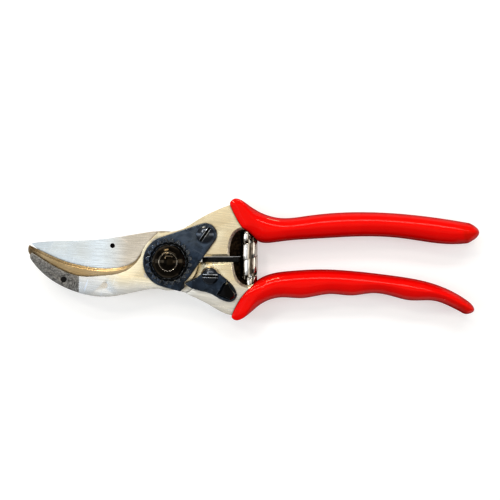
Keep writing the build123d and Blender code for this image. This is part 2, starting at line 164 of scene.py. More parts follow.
def math_node(tree, operation, a, b=None, clamp=False):
    node = add(tree, "ShaderNodeMath", operation=operation, use_clamp=clamp)
    for socket, value in zip(node.inputs, (a, b)):
        if value is None:
            continue
        if isinstance(value, (int, float)):
            socket.default_value = value
        else:
            tree.links.new(value, socket)
    return node.outputs[0]


def map_range(tree, value, low, high, to_low=0.0, to_high=1.0):
    node = add(tree, "ShaderNodeMapRange", interpolation_type="SMOOTHSTEP")
    tree.links.new(value, node.inputs["Value"])
    for name, number in (("From Min", low), ("From Max", high),
                         ("To Min", to_low), ("To Max", to_high)):
        if isinstance(number, (int, float)):
            node.inputs[name].default_value = number
        else:
            tree.links.new(number, node.inputs[name])
    return node.outputs["Result"]


def mix_colour(tree, factor, a, b, blend="MIX"):
    node = add(tree, "ShaderNodeMix", data_type="RGBA", blend_type=blend)
    for socket, value in ((node.inputs[0], factor), (node.inputs[6], a), (node.inputs[7], b)):
        if isinstance(value, (int, float)):
            socket.default_value = value
        elif isinstance(value, (tuple, list)):
            socket.default_value = (*value[:3], 1.0)
        else:
            tree.links.new(value, socket)
    return node.outputs[2]


def mix_value(tree, factor, a, b):
    node = add(tree, "ShaderNodeMix", data_type="FLOAT")
    for socket, value in ((node.inputs[0], factor), (node.inputs[2], a), (node.inputs[3], b)):
        if isinstance(value, (int, float)):
            socket.default_value = value
        else:
            tree.links.new(value, socket)
    return node.outputs[0]


def noise(tree, vector, scale, detail=3.0, roughness=0.5):
    node = add(tree, "ShaderNodeTexNoise")
    tree.links.new(vector, node.inputs["Vector"])
    node.inputs["Scale"].default_value = scale
    node.inputs["Detail"].default_value = detail
    node.inputs["Roughness"].default_value = roughness
    return node.outputs["Fac"]


def object_position(tree):
    return add(tree, "ShaderNodeTexCoord").outputs["Object"]


def place_on_part(tree):
    """The place on the part as one vector, and as its X, Y and Z."""
    position = object_position(tree)
    split = add(tree, "ShaderNodeSeparateXYZ")
    wire(tree, (position, split.inputs[0]))
    return position, split.outputs


def lean(tree, axis):
    """How far the surface faces along a body axis, -1 to 1."""
    split = add(tree, "ShaderNodeSeparateXYZ")
    wire(tree, (add(tree, "ShaderNodeTexCoord").outputs["Normal"], split.inputs[0]))
    return split.outputs[axis]


def facing_front(tree):
    """1 on faces that lie flat, front or back, 0 on upright flanks."""
    return math_node(tree, "ABSOLUTE", lean(tree, "Z"))


def both(tree, first, second):
    """Mask of what two masks share."""
    return math_node(tree, "MULTIPLY", first, second)


def faded(tree, mask, share):
    """A mask held back to a share of its strength."""
    return math_node(tree, "MULTIPLY", mask, share)


def round_mask(tree, position, centre, radius):
    """1 inside a circle drawn on the plan, 0 outside."""
    flat = add(tree, "ShaderNodeVectorMath", operation="MULTIPLY")
    flat.inputs[1].default_value = (1.0, 1.0, 0.0)
    far = add(tree, "ShaderNodeVectorMath", operation="DISTANCE")
    far.inputs[1].default_value = (*centre, 0.0)
    wire(tree, (position, flat.inputs[0]), (flat.outputs["Vector"], far.inputs[0]))
    return math_node(tree, "LESS_THAN", far.outputs["Value"], radius)


# ---------------------------------------------------------------- shared effects
def build_grain_group():
    """Fine brushing along one direction, with broad soft bands across it."""
    tree, source, sink = new_group(
        "Brushed Grain",
        [("Turn", "NodeSocketFloat", 0.0), ("Fineness", "NodeSocketFloat", 2600.0),
         ("Bands", "NodeSocketFloat", 60.0)],
        [("Grain", "NodeSocketFloat"), ("Band", "NodeSocketFloat")])
    place = object_position(tree)
    turned = add(tree, "ShaderNodeVectorRotate", rotation_type="Z_AXIS")
    wire(tree, (place, turned.inputs["Vector"]), (source.outputs["Turn"], turned.inputs["Angle"]))
    squeeze = add(tree, "ShaderNodeMapping")
    squeeze.inputs["Scale"].default_value = (0.035, 1.0, 1.0)
    wire(tree, (turned.outputs["Vector"], squeeze.inputs["Vector"]))
    grain = add(tree, "ShaderNodeTexNoise")
    grain.inputs["Detail"].default_value = 4.0
    grain.inputs["Roughness"].default_value = 0.65
    wire(tree, (squeeze.outputs["Vector"], grain.inputs["Vector"]),
         (source.outputs["Fineness"], grain.inputs["Scale"]),
         (grain.outputs["Fac"], sink.inputs["Grain"]))
    broad = add(tree, "ShaderNodeTexNoise")
    broad.inputs["Detail"].default_value = 2.0
    wire(tree, (turned.outputs["Vector"], broad.inputs["Vector"]),
         (source.outputs["Bands"], broad.inputs["Scale"]),
         (broad.outputs["Fac"], sink.inputs["Band"]))
    return tree


def build_edge_group():
    """Mask of the edges, where a rounded normal leaves the true one, broken up by noise. It carries wear,
    painted shade on the forgings' edges and painted glints on the nut's teeth.
    """
    tree, source, sink = new_group(
        "Edge Wear And Painted Light",
        [("Radius", "NodeSocketFloat", 0.0006), ("Breakup", "NodeSocketFloat", 900.0),
         ("Amount", "NodeSocketFloat", 1.0)],
        [("Mask", "NodeSocketFloat")])
    rounded = add(tree, "ShaderNodeBevel", samples=6)
    true_normal = add(tree, "ShaderNodeNewGeometry").outputs["Normal"]
    dot = add(tree, "ShaderNodeVectorMath", operation="DOT_PRODUCT")
    wire(tree, (source.outputs["Radius"], rounded.inputs["Radius"]),
         (rounded.outputs["Normal"], dot.inputs[0]), (true_normal, dot.inputs[1]))
    edge = map_range(tree, dot.outputs["Value"], 0.995, 0.90)
    speck = add(tree, "ShaderNodeTexNoise")
    speck.inputs["Detail"].default_value = 4.0
    wire(tree, (object_position(tree), speck.inputs["Vector"]),
         (source.outputs["Breakup"], speck.inputs["Scale"]))
    broken = map_range(tree, speck.outputs["Fac"], 0.38, 0.60)
    mask = math_node(tree, "MULTIPLY", edge, broken)
    wire(tree, (math_node(tree, "MULTIPLY", mask, source.outputs["Amount"], clamp=True),
                sink.inputs["Mask"]))
    return tree


def build_scratch_group():
    """Thin stray scratches in two directions."""
    tree, source, sink = new_group(
        "Stray Scratches", [("Scale", "NodeSocketFloat", 170.0), ("Rarity", "NodeSocketFloat", 0.66)],
        [("Mask", "NodeSocketFloat")])
    place = object_position(tree)
    lines = []
    for turn in (0.5, 1.9):
        turned = add(tree, "ShaderNodeVectorRotate", rotation_type="Z_AXIS")
        turned.inputs["Angle"].default_value = turn
        squeeze = add(tree, "ShaderNodeMapping")
        squeeze.inputs["Scale"].default_value = (0.12, 1.0, 1.0)
        streak = add(tree, "ShaderNodeTexNoise")
        streak.inputs["Detail"].default_value = 2.0
        wire(tree, (place, turned.inputs["Vector"]),
             (turned.outputs["Vector"], squeeze.inputs["Vector"]),
             (squeeze.outputs["Vector"], streak.inputs["Vector"]),
             (source.outputs["Scale"], streak.inputs["Scale"]))
        ceiling = math_node(tree, "ADD", source.outputs["Rarity"], 0.04)
        lines.append(map_range(tree, streak.outputs["Fac"], source.outputs["Rarity"], ceiling))
    wire(tree, (math_node(tree, "MAXIMUM", *lines), sink.inputs["Mask"]))
    return tree


def build_smudge_group():
    """Soft patches of handling, oil and dust."""
    tree, source, sink = new_group(
        "Handling Smudges", [("Scale", "NodeSocketFloat", 80.0), ("Low", "NodeSocketFloat", 0.25),
                             ("High", "NodeSocketFloat", 0.40)],
        [("Roughness", "NodeSocketFloat"), ("Mask", "NodeSocketFloat")])
    patch = add(tree, "ShaderNodeTexNoise")
    patch.inputs["Detail"].default_value = 5.0
    patch.inputs["Distortion"].default_value = 0.6
    wire(tree, (object_position(tree), patch.inputs["Vector"]),
         (source.outputs["Scale"], patch.inputs["Scale"]))
    mask = map_range(tree, patch.outputs["Fac"], 0.35, 0.70)
    wire(tree, (mask, sink.inputs["Mask"]),
         (map_range(tree, mask, 0.0, 1.0, source.outputs["Low"], source.outputs["High"]),
          sink.inputs["Roughness"]))
    return tree


def build_occlusion_shade_group():
    """Mask of painted shade: darkening where the surface is occluded, in corners, seams and slots."""
    tree, source, sink = new_group(
        "Painted Occlusion Shade", [("Reach", "NodeSocketFloat", 0.0012), ("Amount", "NodeSocketFloat", 1.0)],
        [("Mask", "NodeSocketFloat")])
    open_sky = add(tree, "ShaderNodeAmbientOcclusion", samples=8)
    speck = noise(tree, object_position(tree), 1300.0, 3.0)
    corner = map_range(tree, open_sky.outputs["AO"], 0.86, 0.35)
    uneven = map_range(tree, speck, 0.30, 0.55, 0.55, 1.0)
    mask = math_node(tree, "MULTIPLY", corner, uneven)
    wire(tree, (source.outputs["Reach"], open_sky.inputs["Distance"]),
         (math_node(tree, "MULTIPLY", mask, source.outputs["Amount"], clamp=True),
          sink.inputs["Mask"]))
    return tree


SHARED = {"grain": build_grain_group(), "edges": build_edge_group(),
          "scratches": build_scratch_group(), "smudges": build_smudge_group(),
          "occlusion_shade": build_occlusion_shade_group()}


def shared(tree, name, **values):
    """One of the shared effects placed in a material with its own values."""
    node = add(tree, "ShaderNodeGroup", node_tree=SHARED[name])
    for key, value in values.items():
        node.inputs[key].default_value = value
    return node


# ---------------------------------------------------------------- materials
def new_material(name):
    material = bpy.data.materials.new(name)
    material.use_nodes = True
    return material, material.node_tree, material.node_tree.nodes["Principled BSDF"]


def set_shader(shader, **values):
    for key, value in values.items():
        shader.inputs[key.replace("_", " ")].default_value = value


def feeding(shader, name):
    """The socket that feeds one input of a shader so far."""
    return shader.inputs[name].links[0].from_socket


def shade_of(colour, share):
    """A colour made darker or paler by one factor, held at full white."""
    return tuple(min(1.0, c * share) for c in colour)


def bump(tree, shader, height, strength, distance):
    node = add(tree, "ShaderNodeBump")
    node.inputs["Strength"].default_value = strength
    node.inputs["Distance"].default_value = distance
    wire(tree, (height, node.inputs["Height"]), (node.outputs["Normal"], shader.inputs["Normal"]))


# Painted shade, laid where the surface is occluded: in corners, seams and slots.
OCCLUSION_SHADE_BROWN = (0.030, 0.024, 0.018)
OCCLUSION_SHADE_BLACK = (0.003, 0.003, 0.003)


def brushed_metal(name, colour, turn, fineness, rough, tint, wear, anisotropy=0.4, edge_wear_and_shade=None):
    """Metal with directional grain, smudges and stray scratches; its edges take a paler worn colour unless
    another is given, and occluded places are painted dark as shade.
    """
    material, tree, shader = new_material(name)
    set_shader(shader, Metallic=1.0, Anisotropic=anisotropy)
    grain = shared(tree, "grain", Turn=turn, Fineness=fineness, Bands=45.0)
    smudges = shared(tree, "smudges", Scale=90.0, Low=rough[0], High=rough[1])
    scratches = shared(tree, "scratches", Scale=620.0, Rarity=0.70)
    edges = shared(tree, "edges", Radius=0.5 * MM, Breakup=700.0, Amount=wear)
    occlusion_shade = shared(tree, "occlusion_shade", Reach=1.8 * MM, Amount=1.0)
    streaked = mix_colour(tree, map_range(tree, grain.outputs["Grain"], 0.3, 0.7, 0.0, 0.9),
                          colour, shade_of(colour, 0.74))
    banded = mix_colour(tree, map_range(tree, grain.outputs["Band"], 0.35, 0.70), streaked, tint,
                        "MULTIPLY")
    scratched = mix_colour(tree, faded(tree, scratches.outputs["Mask"], 0.5), banded,
                           shade_of(colour, 1.25))
    edge_toned = mix_colour(tree, edges.outputs["Mask"], scratched, edge_wear_and_shade or shade_of(colour, 1.3))
    occlusion_shaded = mix_colour(tree, occlusion_shade.outputs["Mask"], edge_toned, OCCLUSION_SHADE_BROWN)
    rough_grain = math_node(
        tree, "ADD", smudges.outputs["Roughness"],
        map_range(tree, grain.outputs["Grain"], 0.3, 0.7, -0.05, 0.06))
    wire(tree, (occlusion_shaded, shader.inputs["Base Color"]), (rough_grain, shader.inputs["Roughness"]))
    bump(tree, shader, grain.outputs["Grain"], 0.12, 0.05 * MM)
    return material, tree, shader


# Forgings. Places are on the plan, in the frame's own axes.
CAST_EDGE_X = -42.65 * MM       # the as-cast hollow of the hook starts here
CAST_DEPTH = 0.6 * MM
CAST_PITS = (0.060, 0.057, 0.054)
CAST_SKIN = (0.33, 0.32, 0.30)
CAST_SPECKS = (0.55, 0.54, 0.52)
NOTCH_CENTRE = (37.0 * MM, 1.6 * MM)   # the notch round the cushion and the spring is painted dark as shade
NOTCH_REACH = 17.0 * MM
NOTCH_SKIN = 0.10 * MM
LIP_DEPTH = 1.1 * MM
# Painted shade in the notch: the lip greyer, the walls and floor below it near-black and brown, broken into
# patches.
LIP_SHADE_DARK, LIP_SHADE_PALE = (0.42, 0.40, 0.33), (0.66, 0.62, 0.50)
NOTCH_SHADE_DARK, NOTCH_SHADE_BROWN = (0.022, 0.014, 0.008), (0.075, 0.05, 0.03)
# Painted reflections: cool and warm tints laid over the forgings.
COOL_REFLECTION, WARM_REFLECTION = (0.87, 0.95, 1.08), (1.0, 0.97, 0.82)
WARM_REFLECTION_X = (-36 * MM, -20 * MM)  # painted reflection: the forgings turn from cool to warm between these
WARM_REFLECTION_Y = (-15 * MM, -7 * MM)
# Painted shade: the forgings' edges are painted dark brown.
EDGE_SHADE = (0.30, 0.22, 0.14)


def cast_mask(tree, place, front):
    """Mask of the floor of the hook's hollow."""
    beyond = math_node(tree, "LESS_THAN", place["X"], CAST_EDGE_X)
    offset = math_node(tree, "SUBTRACT", place["Z"], front - CAST_DEPTH)
    level = math_node(tree, "LESS_THAN", math_node(tree, "ABSOLUTE", offset), 0.25 * MM)
    return both(tree, beyond, level)


def forged_aluminium(colours):
    """Satin forging; the hollow at the hook's nose is left as cast. Its edges and its notch are painted dark
    as shade, and its cool and warm tints are painted reflections.
    """
    material, tree, shader = brushed_metal(
        "forged_aluminium", tuple(colours.aluminium), turn=0.12, fineness=2300.0,
        rough=(0.26, 0.36), tint=(1.0, 0.95, 0.86), wear=0.8, edge_wear_and_shade=EDGE_SHADE)
    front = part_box("anvil_handle")[1].z
    position, place = place_on_part(tree)
    cast = cast_mask(tree, place, front)
    coarse = noise(tree, position, 1500.0, 6.0, 0.75)
    fine = noise(tree, position, 5200.0, 2.0)
    pitted = mix_colour(tree, map_range(tree, coarse, 0.38, 0.62), CAST_PITS, CAST_SKIN)
    skin = mix_colour(tree, map_range(tree, fine, 0.60, 0.72), pitted, CAST_SPECKS)
    lip = map_range(tree, place["Z"], front - NOTCH_SKIN, front - NOTCH_SKIN - 0.2 * MM)
    deep = map_range(tree, place["Z"], front - LIP_DEPTH, front - LIP_DEPTH - 0.3 * MM)
    notch = both(tree, lip, round_mask(tree, position, NOTCH_CENTRE, NOTCH_REACH))
    shade_patches = map_range(tree, noise(tree, position, 700.0, 4.0), 0.40, 0.62)
    painted_shade = mix_colour(tree, deep, mix_colour(tree, shade_patches, LIP_SHADE_DARK, LIP_SHADE_PALE),
                      mix_colour(tree, shade_patches, NOTCH_SHADE_DARK, NOTCH_SHADE_BROWN))
    warm_reflection_mask = both(tree, map_range(tree, place["X"], *WARM_REFLECTION_X),
                 map_range(tree, place["Y"], *WARM_REFLECTION_Y))
    reflection_tinted = mix_colour(tree, 1.0, feeding(shader, "Base Color"),
                       mix_colour(tree, warm_reflection_mask, COOL_REFLECTION, WARM_REFLECTION), "MULTIPLY")
    rough = mix_value(tree, notch, feeding(shader, "Roughness"), 0.50)
    wire(tree, (mix_colour(tree, notch, mix_colour(tree, cast, reflection_tinted, skin), painted_shade),
                shader.inputs["Base Color"]),
         (mix_value(tree, cast, rough, 0.58), shader.inputs["Roughness"]))
    height = feeding(shader, "Normal").node.inputs["Height"]
    lumps = math_node(tree, "MULTIPLY", coarse, 9.0)
    wire(tree, (mix_value(tree, cast, height.links[0].from_socket, lumps), height))
    return material


BLADE_HOLE = (-27.4 * MM, 7.6 * MM)
BLADE_HOLE_R = 1.15 * MM
HOLE_BLACK_SPREAD = 1.05               # the black stands a little over the hole's rim
HOLE_BLACK = (0.006, 0.005, 0.005)
BLADE_WARM_REFLECTION = (0.80, 0.68, 0.56)
BLADE_WARM_REFLECTION_X = (-32 * MM, -19 * MM)  # painted reflection: the blade turns warmer towards the hub


def blade_steel(colours):
    """Ground steel with a painted warm reflection towards the hub; the small blind hole is painted
    near-black.
    """
    material, tree, shader = brushed_metal(
        "blade_steel", tuple(colours.blade), turn=0.05, fineness=3000.0, rough=(0.20, 0.30),
        tint=(1.0, 0.97, 0.92), wear=0.6, anisotropy=0.5)
    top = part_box("cutting_blade")[1].z
    position, place = place_on_part(tree)
    below = math_node(tree, "LESS_THAN", place["Z"], top - 0.12 * MM)
    hole = both(tree, below, round_mask(tree, position, BLADE_HOLE, BLADE_HOLE_R * HOLE_BLACK_SPREAD))
    ground = mix_colour(tree, map_range(tree, place["X"], *BLADE_WARM_REFLECTION_X),
                        feeding(shader, "Base Color"), BLADE_WARM_REFLECTION, "MULTIPLY")
    wire(tree, (mix_colour(tree, hole, ground, HOLE_BLACK), shader.inputs["Base Color"]))
    return material


# Painted shade: the hook lining darkens towards its nose.
NOSE_SHADE = (0.075, 0.048, 0.026)
NOSE_SHADE_REACH = (8 * MM, 1.5 * MM)   # from the nose of the hook


def lining_steel(colours):
    """Steel painted tan as a reflection of warm surroundings, and painted darker towards the nose as shade.
    """
    material, tree, shader = brushed_metal(
        "hardened_steel", tuple(colours.lining), turn=-0.2, fineness=2600.0, rough=(0.24, 0.34),
        tint=(0.85, 0.80, 0.70), wear=0.5, anisotropy=0.3)
    place = place_on_part(tree)[1]
    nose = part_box("anvil_blade")[0].x
    nose_shade_mask = map_range(tree, place["X"], nose + NOSE_SHADE_REACH[0], nose + NOSE_SHADE_REACH[1], 0.0, 0.85)
    wire(tree, (mix_colour(tree, nose_shade_mask, feeding(shader, "Base Color"), NOSE_SHADE),
                shader.inputs["Base Color"]))
    return material


RIVET_BLACK = (0.020, 0.019, 0.018)


def rivet_steel(colours):
    """Rivets ground flush with the forging; the one in the hook's hollow is left black."""
    material, tree, shader = brushed_metal(
        "rivet_steel", shade_of(colours.aluminium, 0.80), turn=0.9, fineness=2600.0,
        rough=(0.34, 0.44), tint=(1.0, 0.95, 0.9), wear=0.4)
    place = place_on_part(tree)[1]
    black = math_node(tree, "LESS_THAN", place["X"], CAST_EDGE_X)
    wire(tree, (mix_colour(tree, black, feeding(shader, "Base Color"), RIVET_BLACK),
                shader.inputs["Base Color"]))
    return material


def dark_steel(name, colour, rough, wear, edge_toned, coat):
    """Chemically blackened steel, worn paler on its edges and painted near-black as shade in occluded
    corners.
    """
    material, tree, shader = new_material(name)
    set_shader(shader, Metallic=0.95, Coat_Roughness=0.15, Coat_Weight=coat)
    smudges = shared(tree, "smudges", Scale=210.0, Low=rough[0], High=rough[1])
    scratches = shared(tree, "scratches", Scale=700.0, Rarity=0.66)
    edges = shared(tree, "edges", Radius=0.35 * MM, Breakup=1100.0, Amount=wear)
    occlusion_shade = shared(tree, "occlusion_shade", Reach=1.0 * MM, Amount=0.9)
    mottled = mix_colour(tree, smudges.outputs["Mask"], colour, shade_of(colour, 3.2))
    scored = mix_colour(tree, faded(tree, scratches.outputs["Mask"], 0.08), mottled, edge_toned)
    worn = mix_colour(tree, edges.outputs["Mask"], scored, edge_toned)
    painted_shade = mix_colour(tree, occlusion_shade.outputs["Mask"], worn, OCCLUSION_SHADE_BLACK)
    wire(tree, (painted_shade, shader.inputs["Base Color"]),
         (smudges.outputs["Roughness"], shader.inputs["Roughness"]))
    bump(tree, shader, noise(tree, object_position(tree), 2600.0, 4.0), 0.15, 0.04 * MM)
    return material, tree, shader


SCREW_HEADS = (                   # centre, radius, start of the crown, turn of the slot
    ((17.2 * MM, 12.8 * MM), 4.1 * MM, 16.0 * MM, 55),
    ((19.6 * MM, -6.7 * MM), 3.7 * MM, 17.3 * MM, -2),
)
SLOT_HALF = 0.55 * MM
SLOT_HIGHLIGHT_WIDTH = 0.30 * MM              # painted highlight along each side of a slot
# Painted light on the screw heads: a reflection on the crown, highlights on the slot's rims, shade in the
# slot.
CROWN_REFLECTION, RIM_HIGHLIGHT, SLOT_SHADE = (0.050, 0.056, 0.066), (0.38, 0.40, 0.42), (0.002, 0.002, 0.002)
PLATE_SHEEN = (0.105, 0.135, 0.180)
PAD_CENTRE = (27.0 * MM, -13.2 * MM)
PAD_REACH = 6.2 * MM
PAD_RISE = 1.55 * MM              # above the catch's back
PAD_BLACK = (0.005, 0.005, 0.006)


def slotted_crown(tree, position, place, under, head):
    """A colour with one screw's head painted over it: the crown lighter as a painted reflection, the slot
    black as painted shade and its rims bright as painted highlights.
    """
    centre, radius, start, turn = head
    across = (-math.sin(math.radians(turn)), math.cos(math.radians(turn)), 0.0)
    shift = add(tree, "ShaderNodeVectorMath", operation="DOT_PRODUCT")
    shift.inputs[1].default_value = across
    wire(tree, (position, shift.inputs[0]))
    middle = centre[0] * across[0] + centre[1] * across[1]
    off = math_node(tree, "ABSOLUTE",
                    math_node(tree, "SUBTRACT", shift.outputs["Value"], middle))
    crown = both(tree, round_mask(tree, position, centre, radius),
                 math_node(tree, "GREATER_THAN", place["Z"], start))
    rim_highlighted = mix_colour(tree, math_node(tree, "LESS_THAN", off, SLOT_HALF + SLOT_HIGHLIGHT_WIDTH),
                        CROWN_REFLECTION, RIM_HIGHLIGHT)
    slotted = mix_colour(tree, math_node(tree, "LESS_THAN", off, SLOT_HALF), rim_highlighted, SLOT_SHADE)
    return mix_colour(tree, crown, under, slotted)


def blued_steel(colours):
    """Blued plate, catch and screws, with a painted sheen on the plate and painted light on the screw heads;
    the catch's raised thumb pad is glossy black.
    """
    material, tree, shader = dark_steel("blued_steel", tuple(colours.blued), (0.20, 0.34), 0.9,
                                        (0.34, 0.37, 0.42), 0.08)
    position, place = place_on_part(tree)
    # Painted sheen: the plate is painted paler and bluer towards +Y, as a reflection.
    sheen = both(tree, map_range(tree, place["Y"], 1 * MM, 12 * MM, 0, 0.7),
                 map_range(tree, noise(tree, position, 380.0, 3.0), 0.35, 0.60, 0.35, 1.0))
    blue = mix_colour(tree, sheen, feeding(shader, "Base Color"), PLATE_SHEEN)
    for head in SCREW_HEADS:
        blue = slotted_crown(tree, position, place, blue, head)
    raised = math_node(tree, "GREATER_THAN", place["Z"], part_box("thumb_catch")[0].z + PAD_RISE)
    pad = both(tree, raised, round_mask(tree, position, PAD_CENTRE, PAD_REACH))
    wire(tree, (mix_colour(tree, pad, blue, PAD_BLACK), shader.inputs["Base Color"]),
         (mix_value(tree, pad, feeding(shader, "Roughness"), 0.10), shader.inputs["Roughness"]))
    return material


FLANGE_RISE = 0.65 * MM           # top of the nut's flange above the plate
TOOTH_ROOT_R = 9.35 * MM
# The teeth are blued like the plate and painted lighter as lit, with painted glints on their edges and
# painted shade inside their roots.
TOOTH_BLUE_LIT, TOOTH_GLINT, TOOTH_ROOT_SHADE = ((0.075, 0.090, 0.115), (0.30, 0.34, 0.40),
                                        (0.004, 0.005, 0.006))
BORE_RING = (3.95 * MM, 4.38 * MM)   # painted highlight on the rim round the bolt
BORE_DEPTH = 0.4 * MM
RING_HIGHLIGHT = (0.50, 0.47, 0.42)


def oiled_steel(colours):
    """Oiled black nut and bolt; the nut's toothed flange is blued like the plate round it, with painted
    light and shade on its teeth, and a painted highlight on the rim round the bolt.
    """
    material, tree, shader = dark_steel("black_steel", tuple(colours.oiled), (0.08, 0.15), 0.5,
                                        (0.14, 0.10, 0.055), 0.0)
    position, place = place_on_part(tree)
    flange = math_node(tree, "LESS_THAN", place["Z"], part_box("locking_plate")[1].z + FLANGE_RISE)
    edges = shared(tree, "edges", Radius=0.6 * MM, Breakup=1300.0, Amount=1.0)
    inside_root = round_mask(tree, position, (0, 0), TOOTH_ROOT_R)
    toothed = mix_colour(tree, inside_root, TOOTH_BLUE_LIT, TOOTH_ROOT_SHADE)
    teeth = mix_colour(tree, edges.outputs["Mask"], toothed, TOOTH_GLINT)
    bore = math_node(tree, "SUBTRACT", round_mask(tree, position, (0, 0), BORE_RING[1]),
                     round_mask(tree, position, (0, 0), BORE_RING[0]))
    top = math_node(tree, "GREATER_THAN", place["Z"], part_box("toothed_nut")[1].z - BORE_DEPTH)
    ring_highlighted = mix_colour(tree, both(tree, bore, top), feeding(shader, "Base Color"), RING_HIGHLIGHT)
    wire(tree, (mix_colour(tree, flange, ring_highlighted, teeth), shader.inputs["Base Color"]))
    return material


# Painted reflection: dark streaks down the spring.
SPRING_DARK_REFLECTION = (0.030, 0.019, 0.012)


def bright_nickel(colours):
    """Bright plating with painted dark reflections down the coils' left flank and right of the middle,
    painted darker towards the right.
    """
    material, tree, shader = new_material("spring_steel")
    set_shader(shader, Metallic=1.0)
    smudges = shared(tree, "smudges", Scale=260.0, Low=0.07, High=0.18)
    scratches = shared(tree, "scratches", Scale=420.0, Rarity=0.66)
    nickel = tuple(colours.nickel)
    side = lean(tree, "X")
    left = map_range(tree, side, -0.40, -0.50, 0.0, 0.80)
    right = both(tree, map_range(tree, side, 0.02, 0.10), map_range(tree, side, 0.56, 0.46))
    side_darkened = mix_colour(tree, map_range(tree, side, 0.10, 0.45), nickel, shade_of(nickel, 0.55))
    dark_reflected = mix_colour(tree, faded(tree, math_node(tree, "MAXIMUM", left, right), 0.94), side_darkened,
                        SPRING_DARK_REFLECTION)
    handled = mix_colour(tree, faded(tree, smudges.outputs["Mask"], 0.3), dark_reflected,
                         shade_of(nickel, 0.5))
    scored = mix_colour(tree, scratches.outputs["Mask"], handled, shade_of(nickel, 0.55))
    wire(tree, (scored, shader.inputs["Base Color"]),
         (smudges.outputs["Roughness"], shader.inputs["Roughness"]))
    bump(tree, shader, noise(tree, object_position(tree), 900.0, 2.0), 0.05, 0.05 * MM)
    return material


WORN_REACH = (14 * MM, 7 * MM)    # from the grips' ends
SCUFF_RED, DULL_RED = (0.85, 0.10, 0.05), (0.56, 0.012, 0.004)
# Painted shade: darker reds for the grips' flanks and occluded places.
FLANK_SHADE_RED, OCCLUSION_SHADE_RED = (0.24, 0.0006, 0.0003), (0.30, 0.001, 0.0005)


def red_coating(colours):
    """Glossy dipped vinyl with orange peel, fine scuffs and a dulled patch at the grips' ends; painted
    darker red as shade on its flanks and where occluded.
    """
    material, tree, shader = new_material("red_coating")
    coat = tuple(colours.coating)
    set_shader(shader, Coat_Roughness=0.10, Specular_Tint=(1.0, 0.35, 0.12, 1.0),
               Coat_Tint=(1.0, 0.42, 0.14, 1.0))
    position, place = place_on_part(tree)
    smudges = shared(tree, "smudges", Scale=70.0, Low=0.22, High=0.32)
    scratches = shared(tree, "scratches", Scale=150.0, Rarity=0.69)
    occlusion_shade = shared(tree, "occlusion_shade", Reach=9.0 * MM, Amount=0.75)
    flat = facing_front(tree)
    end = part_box("upper_grip")[1].x
    near_end = map_range(tree, place["X"], end - WORN_REACH[0], end - WORN_REACH[1])
    worn = both(tree, near_end, map_range(tree, noise(tree, position, 240.0, 4.0, 0.6),
                                          0.40, 0.58))
    warm = mix_colour(tree, smudges.outputs["Mask"], coat,
                      (min(1.0, coat[0] * 1.04), coat[1] * 1.5, coat[2] * 1.2))
    scuffed = mix_colour(tree, faded(tree, scratches.outputs["Mask"], 0.10), warm, SCUFF_RED)
    dulled = mix_colour(tree, faded(tree, worn, 0.55), scuffed, DULL_RED)
    flank = faded(tree, map_range(tree, flat, 0.90, 0.15), 0.92)
    flank_shaded = mix_colour(tree, flank, dulled, FLANK_SHADE_RED)
    shaded = mix_colour(tree, occlusion_shade.outputs["Mask"], flank_shaded, OCCLUSION_SHADE_RED)
    rough = mix_value(tree, worn, smudges.outputs["Roughness"], 0.46)
    glossy = map_range(tree, flat, 0.25, 0.75)
    wire(tree, (shaded, shader.inputs["Base Color"]), (rough, shader.inputs["Roughness"]),
         (both(tree, mix_value(tree, worn, 0.34, 0.05), glossy), shader.inputs["Coat Weight"]),
         (faded(tree, glossy, 0.10), shader.inputs["Specular IOR Level"]))
    bump(tree, shader, noise(tree, position, 420.0, 2.0), 0.10, 0.12 * MM)
    return material


def black_rubber(colours):
    """Matt rubber, dusty in patches."""
    material, tree, shader = new_material("black_rubber")
    set_shader(shader, Specular_IOR_Level=0.12)
    smudges = shared(tree, "smudges", Scale=300.0, Low=0.38, High=0.60)
    rubber = tuple(colours.rubber)
    dusty = mix_colour(tree, smudges.outputs["Mask"], rubber, shade_of(rubber, 3.0))
    wire(tree, (dusty, shader.inputs["Base Color"]),
         (smudges.outputs["Roughness"], shader.inputs["Roughness"]))
    bump(tree, shader, noise(tree, object_position(tree), 1800.0, 3.0), 0.3, 0.05 * MM)
    return material


FINISHES = {}


def make_finishes(colours):
    FINISHES.update({
        "forged_aluminium": forged_aluminium(colours), "blade_steel": blade_steel(colours),
        "hardened_steel": lining_steel(colours), "rivet_steel": rivet_steel(colours),
        "blued_steel": blued_steel(colours), "black_steel": oiled_steel(colours),
        "spring_steel": bright_nickel(colours), "red_coating": red_coating(colours),
        "black_rubber": black_rubber(colours),
    })


# ---------------------------------------------------------------- mesh helpers
def give_finish(piece, slot):
    piece.data.materials.clear()
    piece.data.materials.append(FINISHES[slot])


def add_piece(name, mesh, node, body=None):
    """A new piece that stands for a CAD node and moves with its body."""
    piece = bpy.data.objects.new(name, mesh)
    bpy.context.scene.collection.objects.link(piece)
    give_finish(piece, SLOT_OF[node])
    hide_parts(node)
    if body:
        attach(piece, body)
    return piece


def shade(mesh, angle=35):
    for face in mesh.polygons:
        face.use_smooth = True
    mesh.set_sharp_from_angle(angle=math.radians(angle))


def welded(node):
    """The CAD node's mesh with its seams welded and its flat faces whole."""
    mesh = bmesh.new()
    mesh.from_mesh(frame["nodes"][node].data)
    bmesh.ops.remove_doubles(mesh, verts=mesh.verts, dist=2e-6)
    bmesh.ops.dissolve_limit(mesh, angle_limit=math.radians(0.6), verts=mesh.verts,
                             edges=mesh.edges)
    return mesh


